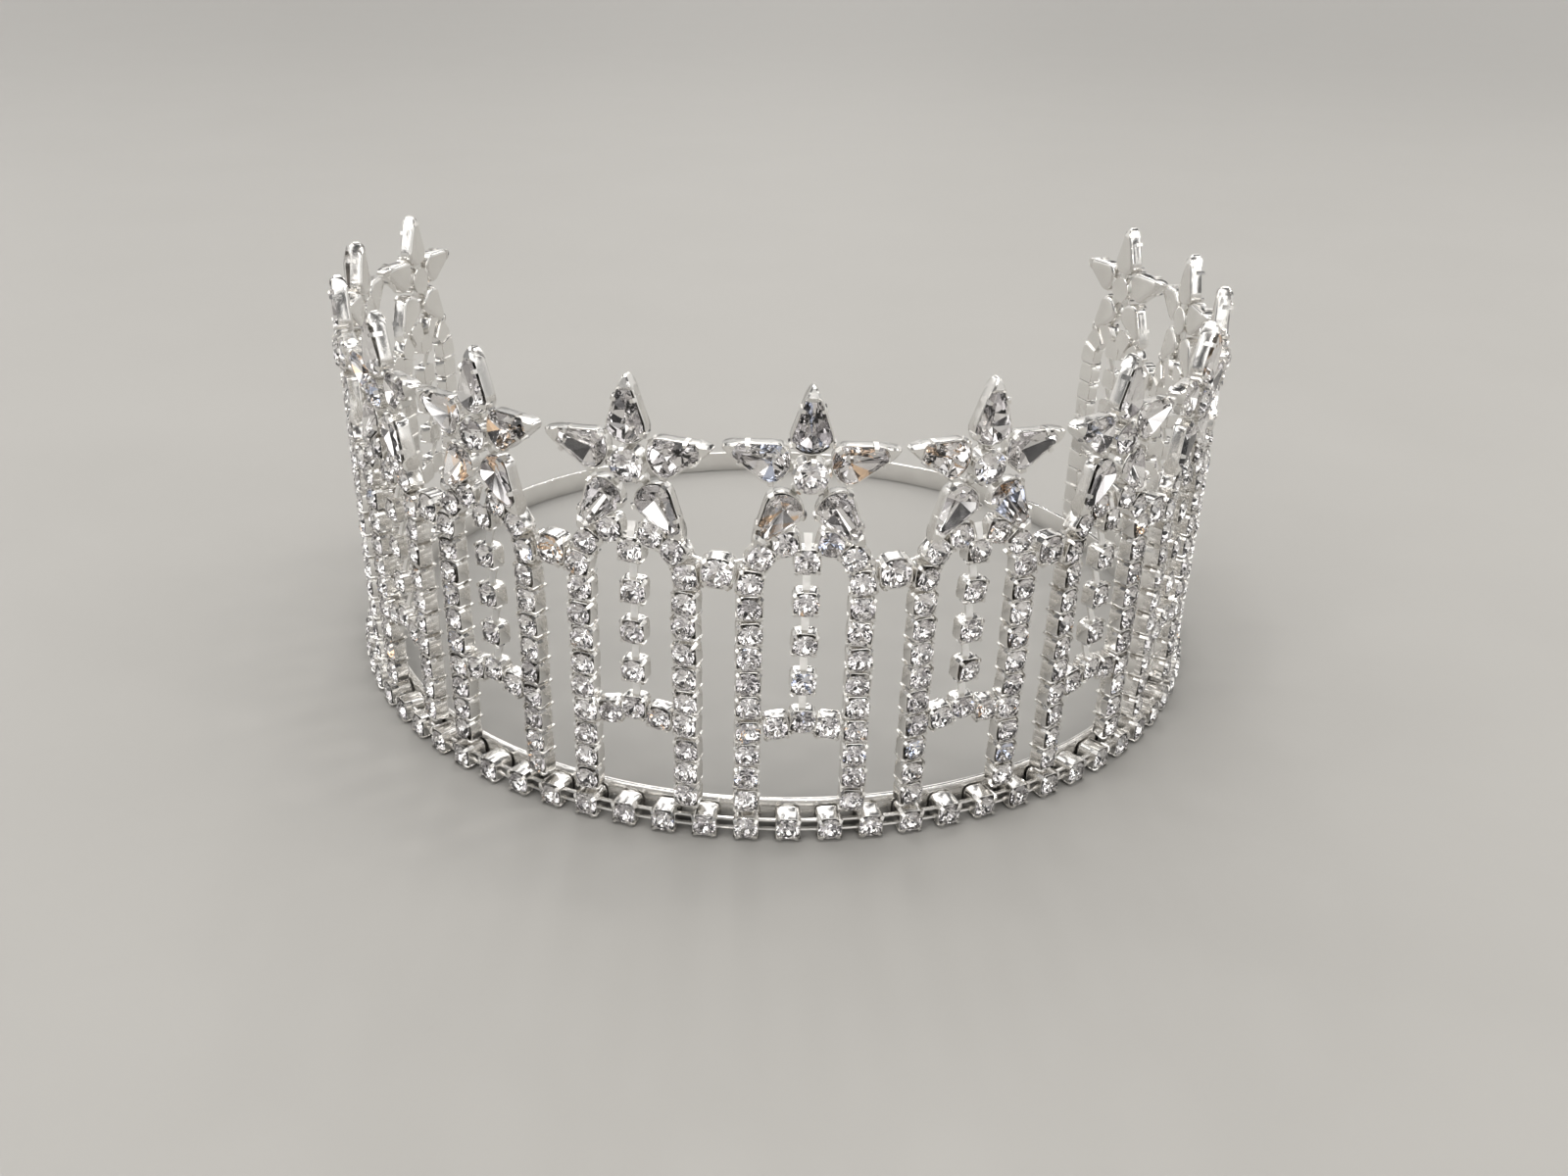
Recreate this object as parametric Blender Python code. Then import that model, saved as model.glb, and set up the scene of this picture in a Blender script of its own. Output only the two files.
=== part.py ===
# Pageant crown: a band with a spaced stone chain round its foot, thirteen arches of cup chain,
# a star on each arch and a larger stone between neighbouring arches.
# Metres, +Z up. The crown stands on z = 0 and its front arch faces -Y.

import math

import bmesh
import bpy
from mathutils import Vector
from mathutils.geometry import tessellate_polygon

MM = 0.001

# Clearance between neighbouring pieces
GAP = 0.3 * MM

# Base band
BAND_OUTER_RADIUS = 78.6 * MM
BAND_THICKNESS = 1.0 * MM
BAND_HEIGHT = 5.0 * MM
BAND_SIDES = 48

# Cup chain: square cups with cut corners, touching in a tight chain
CUP_WIDTH = 4.2 * MM
CUP_DEPTH = 3.1 * MM
CUP_WAIST = 2.9 * MM

# Arch
ARCH_COUNT = 13
COLUMN_STONES = 10
SHOULDER_ANGLE = math.radians(68.7)
CROWN_ANGLE = math.radians(31.7)
DROP_STONES = 4
LINK_WIDTH = 1.1 * MM
CROSSBAR_SLOPE = math.radians(15.0)
# The crossbar meets each column beside this stone, counted from the foot
CROSSBAR_STONE = 3

# Base chain
BASE_STONES_PER_ARCH = 4
BASE_CUP_DEPTH = 4.4 * MM
BASE_CUP_WIDTH = 4.2 * MM
RAIL_THICKNESS = 0.7 * MM
RAIL_SPACING = 1.7 * MM

# Spacer stones between the arches
SPACER_WIDTH = 5.1 * MM
SPACER_BACK_SHARE = 0.72
SPACER_DEPTH = 3.4 * MM
SPACER_RISE = 1.2 * MM
SPACER_SIDES = 6

# Stars
STAR_ARMS = 5
STAR_POINT_GAP = 0.5 * MM
STAR_DEPTH = 3.3 * MM
STAR_CENTRE_WIDTH = 5.4 * MM
STAR_CENTRE_RISE = 0.7 * MM
STAR_CENTRE_SIDES = 6
# Shares of the star's own radius: the pear's broadest place, its half width there, and the valley
PEAR_SHOULDER_SHARE = 0.42
PEAR_HALF_WIDTH_SHARE = 0.235
STAR_VALLEY_SHARE = 0.37

# Sizes worked out from the values above
CUP_HALF = CUP_WIDTH / 2
WAIST_HALF = CUP_WAIST / 2
LINK_HALF = LINK_WIDTH / 2
COLUMN_X = CUP_WIDTH * (1 + math.cos(CROSSBAR_SLOPE))
ARCH_HALF_WIDTH = COLUMN_X + CUP_HALF
# The flat back of an arch clears the round band at the columns' inner edges
ARCH_BACK = math.sqrt((BAND_OUTER_RADIUS + GAP) ** 2 - (COLUMN_X - CUP_HALF) ** 2)
ARCH_FACE = ARCH_BACK + CUP_DEPTH
COLUMN_FOOT = BASE_CUP_WIDTH + GAP
COLUMN_TOP = COLUMN_FOOT + CUP_HALF + (COLUMN_STONES - 1) * CUP_WIDTH
# One arch and one spacer with its clearances fill one step round the ring
ARCH_STEP = 2 * (math.atan(ARCH_HALF_WIDTH / ARCH_FACE) + math.asin((SPACER_WIDTH / 2 + GAP) / ARCH_FACE))
STAR_TURN = 2 * math.pi / STAR_ARMS
STAR_SIDE_ARM = math.pi / 2 - STAR_TURN
STAR_LEG = STAR_SIDE_ARM - STAR_TURN
# The side points of neighbouring stars all but touch
STAR_RADIUS = (ARCH_BACK * math.tan(ARCH_STEP / 2) - STAR_POINT_GAP / 2) / math.cos(STAR_SIDE_ARM)
BASE_STEP = ARCH_STEP / BASE_STONES_PER_ARCH
BASE_STONES = BASE_STONES_PER_ARCH * ARCH_COUNT - 1
BASE_BACK_RADIUS = BAND_OUTER_RADIUS + GAP
BASE_FACE_RADIUS = BASE_BACK_RADIUS + BASE_CUP_DEPTH
# The box of the whole crown is centred on the origin: its front is the base chain, its rear the band
RING_CENTRE_Y = (BASE_FACE_RADIUS - BAND_OUTER_RADIUS) / 2


def make_material(name, colour, roughness, metallic, transmission=0.0):
    material = bpy.data.materials.new(name)
    material.use_nodes = True
    shader = material.node_tree.nodes["Principled BSDF"]
    shader.inputs["Base Color"].default_value = colour
    shader.inputs["Roughness"].default_value = roughness
    shader.inputs["Metallic"].default_value = metallic
    shader.inputs["Transmission Weight"].default_value = transmission
    return material


def extruded_mesh(name, outline, windows, back, depth):
    # A flat region in X and Z, with windows, stands from y = -back out to y = -(back + depth).
    # The outline runs anticlockwise seen from the front, and each window runs clockwise.
    loops = [outline] + windows
    points = [point for loop in loops for point in loop]
    flat = [[Vector((x, z, 0.0)) for x, z in loop] for loop in loops]
    triangles = tessellate_polygon(flat)
    mesh_builder = bmesh.new()
    front = [mesh_builder.verts.new((x, -(back + depth), z)) for x, z in points]
    rear = [mesh_builder.verts.new((x, -back, z)) for x, z in points]
    for a, b, c in triangles:
        mesh_builder.faces.new((front[a], front[b], front[c]))
        mesh_builder.faces.new((rear[c], rear[b], rear[a]))
    start = 0
    for loop in loops:
        end = start + len(loop)
        bridge(mesh_builder, front[start:end], rear[start:end])
        start = end
    return finished_mesh(name, mesh_builder)


def bridge(mesh_builder, near, far):
    # A wall of quads between two closed loops that have the same number of corners
    for i in range(len(near)):
        mesh_builder.faces.new((near[i - 1], near[i], far[i], far[i - 1]))


def finished_mesh(name, mesh_builder):
    # Makes the mesh, with all faces turned outwards
    bmesh.ops.recalc_face_normals(mesh_builder, faces=mesh_builder.faces)
    mesh = bpy.data.meshes.new(name)
    mesh_builder.to_mesh(mesh)
    mesh_builder.free()
    return mesh


def chain_side(centres, side):
    # The scalloped edge of a tight chain: one point out at each stone, one in between two stones.
    # side is +1 to the left of the chain's direction and -1 to its right.
    edge = []
    for i, centre in enumerate(centres):
        before = centres[max(i - 1, 0)]
        after = centres[min(i + 1, len(centres) - 1)]
        edge.append(offset_point(centre, before, after, side * CUP_HALF))
        if i + 1 < len(centres):
            middle = ((centre[0] + after[0]) / 2, (centre[1] + after[1]) / 2)
            edge.append(offset_point(middle, centre, after, side * WAIST_HALF))
    return edge


def offset_point(point, before, after, distance):
    dx = after[0] - before[0]
    dz = after[1] - before[1]
    length = math.hypot(dx, dz)
    return (point[0] - dz / length * distance, point[1] + dx / length * distance)


def mirrored(points):
    return [(-x, z) for x, z in reversed(points)]


def hoop_centres():
    # Stone centres up the right column, round the shoulder and on to the stone right of the middle
    centres = [(COLUMN_X, COLUMN_FOOT + CUP_HALF + i * CUP_WIDTH) for i in range(COLUMN_STONES)]
    for angle in (SHOULDER_ANGLE, CROWN_ANGLE):
        x, z = centres[-1]
        centres.append((x - CUP_WIDTH * math.cos(angle), z + CUP_WIDTH * math.sin(angle)))
    return centres


def crossbar_height():
    # Height of the crossbar's side stones, level with the upper half of the column stone they meet
    return COLUMN_FOOT + CUP_HALF + CROSSBAR_STONE * CUP_WIDTH + (CUP_HALF - WAIST_HALF)


def drop_centres():
    # The drop hangs from the two top stones and ends on the crossbar's middle stone
    top_x, top_z = hoop_centres()[-1]
    first = top_z - math.sqrt(CUP_WIDTH ** 2 - min(top_x, CUP_WIDTH * math.cos(CROWN_ANGLE)) ** 2)
    last = crossbar_height() + CUP_WIDTH * math.sin(CROSSBAR_SLOPE)
    pitch = (first - last) / DROP_STONES
    return [(0.0, first - i * pitch) for i in range(DROP_STONES + 1)]


def arch_mesh():
    hoop = hoop_centres()
    outer = chain_side(hoop, -1)
    inner = chain_side(hoop, 1)
    crossbar_z = crossbar_height()
    side_stone = (CUP_WIDTH * math.cos(CROSSBAR_SLOPE), crossbar_z)
    drops = drop_centres()
    middle_stone = drops[-1]

    # Inner edge of the column below the crossbar, ending on the bulge of the stone that it meets
    below = inner[:2 * CROSSBAR_STONE + 1]
    above = inner[2 * CROSSBAR_STONE + 1:]
    foot = [(COLUMN_X - WAIST_HALF, COLUMN_FOOT), (COLUMN_X + WAIST_HALF, COLUMN_FOOT)]
    bar_under = [(side_stone[0], side_stone[1] - CUP_HALF)]
    bar_under.append((side_stone[0] / 2, (side_stone[1] + middle_stone[1]) / 2 - WAIST_HALF))
    bar_under_middle = [(0.0, middle_stone[1] - CUP_HALF)]
    right_half = list(reversed(bar_under)) + list(reversed(below)) + foot + outer
    outline = bar_under_middle + right_half + mirrored(right_half)

    # Right window: down the drop, along the crossbar, up the column and round the shoulder
    window = []
    first_drop = drops[0]
    top_x, top_z = hoop[-1]
    window.append(((top_x + first_drop[0]) / 2 + LINK_HALF, (top_z + first_drop[1]) / 2 - LINK_HALF))
    for i, (x, z) in enumerate(drops[:-1]):
        below_z = drops[i + 1][1]
        window.append((x + CUP_HALF, z))
        window.append((x + LINK_HALF, (z + below_z) / 2))
    window.append((side_stone[0] / 2, (side_stone[1] + middle_stone[1]) / 2 + WAIST_HALF))
    window.append((side_stone[0], side_stone[1] + CUP_HALF))
    window += above
    windows = [list(reversed(window)), list(reversed(mirrored(window)))]
    return extruded_mesh("arch", outline, windows, ARCH_BACK, CUP_DEPTH)


def star_height():
    # The star's legs stand a clearance above the arch's two top stones. The leg's under edge is the
    # line from its point to its broadest place, and the height follows from the distance to it.
    top_x, top_z = hoop_centres()[-1]
    along = (math.cos(STAR_LEG), math.sin(STAR_LEG))
    across = (math.sin(STAR_LEG), -math.cos(STAR_LEG))
    tip = (STAR_RADIUS * along[0], STAR_RADIUS * along[1])
    reach = PEAR_SHOULDER_SHARE * STAR_RADIUS
    half = PEAR_HALF_WIDTH_SHARE * STAR_RADIUS
    broad = (reach * along[0] + half * across[0], reach * along[1] + half * across[1])
    edge = (broad[0] - tip[0], broad[1] - tip[1])
    length = math.hypot(*edge)
    # Height of the under edge above the stone's centre line, at the stone's own distance from it
    edge_z = tip[1] + (top_x - tip[0]) * edge[1] / edge[0]
    lift = (CUP_HALF + GAP) * length / abs(edge[0])
    return top_z + lift - edge_z


def star_outline(centre_z):
    outline = []
    for i in range(STAR_ARMS):
        angle = math.pi / 2 + i * STAR_TURN
        along = (math.cos(angle), math.sin(angle))
        across = (-math.sin(angle), math.cos(angle))
        reach = PEAR_SHOULDER_SHARE * STAR_RADIUS
        half = PEAR_HALF_WIDTH_SHARE * STAR_RADIUS
        for side, share in ((-1, reach), (0, STAR_RADIUS), (1, reach)):
            x = share * along[0] + side * half * across[0]
            z = share * along[1] + side * half * across[1]
            outline.append((x, centre_z + z))
        valley = STAR_VALLEY_SHARE * STAR_RADIUS
        turn = angle + STAR_TURN / 2
        outline.append((valley * math.cos(turn), centre_z + valley * math.sin(turn)))
    return outline


def polygon_points(sides, radius, centre_z):
    return [
        (radius * math.cos(2 * math.pi * i / sides), centre_z + radius * math.sin(2 * math.pi * i / sides))
        for i in range(sides)
    ]


def star_mesh():
    # A flat star whose round middle stone stands forward of the five pears
    centre_z = star_height()
    outline = star_outline(centre_z)
    boss = polygon_points(STAR_CENTRE_SIDES, STAR_CENTRE_WIDTH / 2, centre_z)
    mesh_builder = bmesh.new()
    face_y = -(ARCH_BACK + STAR_DEPTH)
    rear = [mesh_builder.verts.new((x, -ARCH_BACK, z)) for x, z in outline]
    front = [mesh_builder.verts.new((x, face_y, z)) for x, z in outline]
    ring = [mesh_builder.verts.new((x, face_y, z)) for x, z in boss]
    cap = [mesh_builder.verts.new((x, face_y - STAR_CENTRE_RISE, z)) for x, z in boss]
    loops = [[Vector((x, z, 0.0)) for x, z in outline], [Vector((x, z, 0.0)) for x, z in reversed(boss)]]
    shelf_order = front + list(reversed(ring))
    for a, b, c in tessellate_polygon(loops):
        mesh_builder.faces.new((shelf_order[a], shelf_order[b], shelf_order[c]))
    for a, b, c in tessellate_polygon(loops[:1]):
        mesh_builder.faces.new((rear[c], rear[b], rear[a]))
    bridge(mesh_builder, rear, front)
    bridge(mesh_builder, ring, cap)
    mesh_builder.faces.new(cap)
    return finished_mesh("star", mesh_builder)


def spacer_mesh():
    # A tapered cup, broad at the stone and narrow at its back
    centre_z = COLUMN_TOP + SPACER_RISE
    face = polygon_points(SPACER_SIDES, SPACER_WIDTH / 2, centre_z)
    back = polygon_points(SPACER_SIDES, SPACER_BACK_SHARE * SPACER_WIDTH / 2, centre_z)
    mesh_builder = bmesh.new()
    rear = [mesh_builder.verts.new((x, -ARCH_BACK, z)) for x, z in back]
    front = [mesh_builder.verts.new((x, -(ARCH_BACK + SPACER_DEPTH), z)) for x, z in face]
    bridge(mesh_builder, rear, front)
    mesh_builder.faces.new(front)
    mesh_builder.faces.new(rear)
    return finished_mesh("spacer", mesh_builder)


def ring_point(radius, angle, height):
    return (radius * math.sin(angle), -radius * math.cos(angle), height)


def add_loop(mesh_builder, corners, angle):
    # A section given by radius and height, turned round the ring to an angle
    return [mesh_builder.verts.new(ring_point(radius, angle, z)) for radius, z in corners]


def band_mesh():
    mesh_builder = bmesh.new()
    inner = BAND_OUTER_RADIUS - BAND_THICKNESS
    corners = ((BAND_OUTER_RADIUS, 0.0), (BAND_OUTER_RADIUS, BAND_HEIGHT), (inner, BAND_HEIGHT), (inner, 0.0))
    loops = [add_loop(mesh_builder, corners, 2 * math.pi * i / BAND_SIDES) for i in range(BAND_SIDES)]
    for i in range(BAND_SIDES):
        bridge(mesh_builder, loops[i - 1], loops[i])
    return finished_mesh("base_band", mesh_builder)


def upright_corners(depth, height):
    # Radius and height of the corners of a rectangle on the middle of a base cup's side
    radius = (BASE_BACK_RADIUS + BASE_FACE_RADIUS) / 2
    z = BASE_CUP_WIDTH / 2
    return [
        (radius + depth / 2, z - height / 2),
        (radius + depth / 2, z + height / 2),
        (radius - depth / 2, z + height / 2),
        (radius - depth / 2, z - height / 2),
    ]


def base_chain_mesh():
    # Square cups at even steps. The two rails between one cup and the next are filled in as one bar.
    first = -(ARCH_COUNT - 1) / 2 * ARCH_STEP - math.asin(COLUMN_X / ARCH_FACE)
    half = math.asin(BASE_CUP_WIDTH / 2 / BASE_FACE_RADIUS)
    cup_corners = upright_corners(BASE_CUP_DEPTH, BASE_CUP_WIDTH)
    bar_corners = upright_corners(RAIL_THICKNESS, RAIL_SPACING + RAIL_THICKNESS)
    mesh_builder = bmesh.new()
    bar_start = None
    for i in range(BASE_STONES):
        middle = first + i * BASE_STEP
        cup_start = add_loop(mesh_builder, cup_corners, middle - half)
        cup_end = add_loop(mesh_builder, cup_corners, middle + half)
        bridge(mesh_builder, cup_start, cup_end)
        if i == 0:
            mesh_builder.faces.new(cup_start)
        else:
            bar_end = add_loop(mesh_builder, bar_corners, middle - half)
            bridge(mesh_builder, bar_start, bar_end)
            bridge(mesh_builder, bar_end, cup_start)
        if i == BASE_STONES - 1:
            mesh_builder.faces.new(cup_end)
        else:
            bar_start = add_loop(mesh_builder, bar_corners, middle + half)
            bridge(mesh_builder, cup_end, bar_start)
    return finished_mesh("base_chain", mesh_builder)


def place(name, mesh, material, parent, turn=0.0):
    obj = bpy.data.objects.new(name, mesh)
    bpy.context.scene.collection.objects.link(obj)
    if not mesh.materials:
        mesh.materials.append(material)
    obj.parent = parent
    obj.rotation_euler = (0.0, 0.0, turn)
    return obj


def build():
    for old in list(bpy.data.objects):
        bpy.data.objects.remove(old)
    silver = make_material("silver", (0.80, 0.79, 0.76, 1.0), 0.12, 1.0)
    crystal = make_material("crystal", (0.95, 0.95, 0.97, 1.0), 0.02, 0.0, 1.0)

    ring = bpy.data.objects.new("ring_centre", None)
    bpy.context.scene.collection.objects.link(ring)
    ring.location = (0.0, RING_CENTRE_Y, 0.0)

    place("base_band", band_mesh(), silver, ring)
    place("base_chain", base_chain_mesh(), silver, ring)
    arch = arch_mesh()
    star = star_mesh()
    spacer = spacer_mesh()
    for i in range(ARCH_COUNT):
        turn = (i - (ARCH_COUNT - 1) / 2) * ARCH_STEP
        place("arch_%02d" % (i + 1), arch, silver, ring, turn)
        place("star_%02d" % (i + 1), star, crystal, ring, turn)
        if i + 1 < ARCH_COUNT:
            place("spacer_%02d" % (i + 1), spacer, crystal, ring, turn + ARCH_STEP / 2)


build()
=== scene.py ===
# Pageant crown, dressed: foil-backed stones in pronged cups, pear-stone stars, rails and a polished band.
import math

import bpy
import numpy as np
from mathutils import Matrix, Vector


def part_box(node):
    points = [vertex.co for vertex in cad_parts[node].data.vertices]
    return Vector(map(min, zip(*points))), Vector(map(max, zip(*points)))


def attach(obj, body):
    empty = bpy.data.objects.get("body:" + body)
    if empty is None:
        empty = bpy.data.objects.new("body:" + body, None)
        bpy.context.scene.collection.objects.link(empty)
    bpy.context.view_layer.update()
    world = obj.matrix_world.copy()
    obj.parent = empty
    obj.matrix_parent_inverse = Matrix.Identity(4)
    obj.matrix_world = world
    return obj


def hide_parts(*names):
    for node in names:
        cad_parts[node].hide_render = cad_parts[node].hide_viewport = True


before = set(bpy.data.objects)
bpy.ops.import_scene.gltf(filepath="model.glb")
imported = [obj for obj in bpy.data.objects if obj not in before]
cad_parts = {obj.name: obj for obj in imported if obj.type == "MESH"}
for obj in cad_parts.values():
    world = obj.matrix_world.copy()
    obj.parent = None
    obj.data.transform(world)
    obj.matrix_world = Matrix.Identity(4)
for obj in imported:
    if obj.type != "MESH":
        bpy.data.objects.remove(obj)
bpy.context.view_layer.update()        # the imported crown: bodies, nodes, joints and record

mm = 0.001                                # lengths below are in millimetres, in each piece's own frame
dice = np.random.default_rng(1213)
upright = np.array([0.0, 0.0, 1.0])
bodyName = "root"


def nodeBox(node):
    low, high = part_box(node)
    return np.array(low) / mm, np.array(high) / mm


# Places that the frame gives: the ring's middle, the arch plane, each arch's turn, the star and the spacer
bandLow, bandHigh = nodeBox("base_band")
ringMiddle = (bandLow + bandHigh) / 2 * [1, 1, 0]
bandRadius = (bandHigh[0] - bandLow[0]) / 2
bandHeight = bandHigh[2]
archLow, archHigh = nodeBox("arch_07")
archBack = ringMiddle[1] - archHigh[1]
archFace = ringMiddle[1] - archLow[1]
archFoot = archLow[2]
starLow, starHigh = nodeBox("star_07")
starRadius = (starHigh[0] - starLow[0]) / 2 / math.cos(math.radians(18))
starMiddle = starHigh[2] - starRadius
spacerLow, spacerHigh = nodeBox("spacer_06")
spacerMiddle = (spacerLow[2] + spacerHigh[2]) / 2
chainLow, chainHigh = nodeBox("base_chain")
chainFace = ringMiddle[1] - chainLow[1]


def archTurn(number):
    low, high = nodeBox(f"arch_{number:02d}")
    x, y = ((low + high) / 2 - ringMiddle)[:2]
    return math.atan2(x, -y)


archTurns = np.array([archTurn(number) for number in range(1, 14)])
turnStep = archTurns[1] - archTurns[0]


# A shape is (corners, faces): corners n x 3, and faces a list of (corner numbers m x sides, material number).

def joined(shapes):
    corners, faces, start = [], [], 0
    for points, polygons in shapes:
        corners.append(points)
        faces += [(numbers + start, paint) for numbers, paint in polygons]
        start += len(points)
    return np.concatenate(corners), faces


def stacked(rings, paint=0, loop=False):
    # Quads join every ring of corners to the next one. The two ends are closed by one face each, or,
    # with loop, the last ring joins the first. Rings run anticlockwise seen from where the stack goes.
    rows, corners = rings.shape[:2]
    numbers = np.arange(rows * corners).reshape(rows, corners)
    beside = np.roll(numbers, -1, axis=1)
    if loop:
        lower, lowerBeside = numbers, beside
        upper, upperBeside = np.roll(numbers, -1, axis=0), np.roll(beside, -1, axis=0)
    else:
        lower, lowerBeside = numbers[:-1], beside[:-1]
        upper, upperBeside = numbers[1:], beside[1:]
    quads = np.stack([lower, lowerBeside, upperBeside, upper], axis=-1).reshape(-1, 4)
    faces = [(quads, paint)]
    if not loop:
        faces += [(numbers[:1, ::-1], paint), (numbers[-1:], paint)]
    return rings.reshape(-1, 3), faces


def grown(outline, profile):
    # Each row of the profile is (share of the outline, height): the outline scaled and lifted row by row
    profile = np.array(profile, float)
    flat = outline[None] * profile[:, :1, None]
    height = np.broadcast_to(profile[:, 1:, None], flat.shape[:2] + (1,))
    return np.concatenate([flat, height], axis=2)


def swept(path, side, section, sizes=None, loop=False, paint=0):
    # A section carried along a path. side is the direction that stays square to the path, and the
    # section's first number runs along side x path, its second along side.
    path, side, section = np.array(path, float), np.array(side, float), np.array(section, float)
    if loop:
        run = np.roll(path, -1, axis=0) - np.roll(path, 1, axis=0)
    else:
        run = np.gradient(path, axis=0)
    run /= np.linalg.norm(run, axis=1, keepdims=True)
    sides = np.broadcast_to(side, run.shape)
    normal = np.cross(sides, run)
    normal /= np.linalg.norm(normal, axis=1, keepdims=True)
    sizes = np.ones((len(path), 2)) if sizes is None else np.array(sizes, float)
    outward = section[None, :, 0, None] * sizes[:, None, 0, None] * normal[:, None]
    sideways = section[None, :, 1, None] * sizes[:, None, 1, None] * sides[:, None]
    return stacked(path[:, None] + outward + sideways, paint, loop)


def circle(radius, corners):
    angle = np.arange(corners) * 2 * np.pi / corners
    return np.stack([radius * np.cos(angle), radius * np.sin(angle)], axis=1)


def roundedSquare(half, radius, steps=3):
    # Each corner is an arc: the corner's own centre + radius x direction, in even steps over 90 degrees
    corner = np.radians(90 * np.arange(4))[:, None]
    turn = corner + np.radians(np.linspace(0, 90, steps))
    reach = (half - radius) * math.sqrt(2)
    x = reach * np.cos(corner + np.pi / 4) + radius * np.cos(turn)
    y = reach * np.sin(corner + np.pi / 4) + radius * np.sin(turn)
    return np.stack([x, y], axis=2).reshape(-1, 2)


def spun(angle):
    # Turns about the out axis, one matrix for each angle
    angle = np.atleast_1d(angle)
    cosine, sine, none = np.cos(angle), np.sin(angle), np.zeros_like(angle)
    rows = [[cosine, -sine, none], [sine, cosine, none], [none, none, none + 1]]
    return np.moveaxis(np.array(rows), 2, 0)


def leaned(across, along):
    # Small leans about the two flat axes, for hand-set stones
    across, along = np.atleast_1d(across), np.atleast_1d(along)
    none = np.zeros_like(across)
    rows = [[none + 1, none, along], [none, none + 1, -across], [-along, across, none + 1]]
    return np.moveaxis(np.array(rows), 2, 0)


def looseLeans(amount, count):
    return leaned(dice.normal(0, amount, count), dice.normal(0, amount, count))


def stamped(shape, turns, places):
    # The same shape once for each turn matrix and place
    points, polygons = shape
    corners = np.einsum("fij,nj->fni", turns, points) + np.asarray(places)[:, None]
    steps = np.arange(len(corners)) * len(points)
    faces = [((numbers[None] + steps[:, None, None]).reshape(-1, numbers.shape[1]), paint)
             for numbers, paint in polygons]
    return corners.reshape(-1, 3), faces


def onArch(shape):
    # From (across, up, out of the arch's back) to the front arch's place, before it is turned
    points, polygons = shape
    across, along, out = points.T
    return np.stack([across, -(archBack + out), along], axis=1), polygons


def turnedRound(shape, turn):
    points, polygons = shape
    cosine, sine = math.cos(turn), math.sin(turn)
    spin = np.array([[cosine, -sine, 0], [sine, cosine, 0], [0, 0, 1]])
    return points @ spin.T + ringMiddle, polygons


# The glint numbers spread here pick the foil's painted grey facets and painted orange and blue flashes
surface = {"sharpAngle": 31, "paintedGlintLow": 0.05, "paintedGlintSpan": 0.9}


def madePiece(name, shape, materials, nodes, smooth=True, flash=0.0):
    # Flash is the share of faces whose painted glint number is 0 or 1, the two ends of the foil's colours:
    #     # the painted blue and orange flashes
    points, polygons = shape
    polygons = [(numbers, paint) for numbers, paint in polygons if len(numbers)]
    sides = np.concatenate([np.full(len(numbers), numbers.shape[1]) for numbers, paint in polygons])
    paints = np.concatenate([np.full(len(numbers), paint) for numbers, paint in polygons])
    mesh = bpy.data.meshes.new(name)
    mesh.vertices.add(len(points))
    mesh.vertices.foreach_set("co", (points * mm).ravel())
    mesh.loops.add(int(sides.sum()))
    mesh.loops.foreach_set("vertex_index", np.concatenate([numbers.ravel() for numbers, paint in polygons]))
    mesh.polygons.add(len(sides))
    mesh.polygons.foreach_set("loop_start", np.concatenate([[0], np.cumsum(sides)[:-1]]))
    for material in materials:
        mesh.materials.append(material)
    mesh.polygons.foreach_set("material_index", paints)
    mesh.polygons.foreach_set("use_smooth", np.full(len(sides), smooth))
    mesh.update(calc_edges=True)
    if smooth:
        mesh.set_sharp_from_angle(angle=math.radians(surface["sharpAngle"]))
    # Each face's painted glint number: it picks the foil's painted dark reflections and painted colour
    # flashes
    glint = mesh.attributes.new("glint", "FLOAT", "FACE")
    chance = dice.random(len(sides))
    flashing = dice.random(len(sides)) < flash
    quiet = surface["paintedGlintLow"] + surface["paintedGlintSpan"] * chance
    glint.data.foreach_set("value", np.where(flashing, np.round(chance), quiet))
    piece = bpy.data.objects.new(name, mesh)
    bpy.context.scene.collection.objects.link(piece)
    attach(piece, bodyName)
    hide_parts(*nodes)


class Wire:
    # A node's output socket. Sums written with it add Math nodes.
    def __init__(self, socket):
        self.socket = socket

    def sum(self, operation, *values):
        tree = self.socket.id_data
        return addNode(tree, "ShaderNodeMath", {"operation": operation}, dict(enumerate(values)))

    def __add__(self, other):
        return self.sum("ADD", self, other)

    def __sub__(self, other):
        return self.sum("SUBTRACT", self, other)

    def __mul__(self, other):
        return self.sum("MULTIPLY", self, other)

    def __pow__(self, other):
        return self.sum("POWER", self, other)


def addNode(tree, kind, settings, inputs, output=0):
    # Settings first, then each socket's value or link. A ramp's stops are (place, colour) pairs.
    node = tree.nodes.new(kind)
    for name, value in settings.items():
        if name == "stops":
            ramp = node.color_ramp
            while len(ramp.elements) < len(value):
                ramp.elements.new(0.5)
            for element, (place, colour) in zip(ramp.elements, value):
                element.position, element.color = place, colour
        elif name == "interpolation":
            node.color_ramp.interpolation = value
        else:
            setattr(node, name, value)
    for name, value in inputs.items():
        if isinstance(value, Wire):
            tree.links.new(value.socket, node.inputs[name])
        else:
            node.inputs[name].default_value = value
    return Wire(node.outputs[output])


def newMaterial(name, values):
    # A material whose shader gets the plain values, and its tree for what varies
    material = bpy.data.materials.new(name)
    material.use_nodes = True
    tree = material.node_tree
    shader = tree.nodes["Principled BSDF"]
    for socket, value in values.items():
        shader.inputs[socket].default_value = value
    return material, tree, shader


def feed(tree, shader, links):
    for socket, wire in links.items():
        tree.links.new(wire.socket, shader.inputs[socket])


def noiseAt(tree, scale, detail=2.0):
    place = addNode(tree, "ShaderNodeTexCoord", {}, {}, "Object")
    return addNode(tree, "ShaderNodeTexNoise", {}, {"Vector": place, "Scale": scale, "Detail": detail})


def blended(tree, share, first, second):
    return addNode(tree, "ShaderNodeMix", {"data_type": "RGBA"}, {0: share, 6: first, 7: second}, 2)


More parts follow.
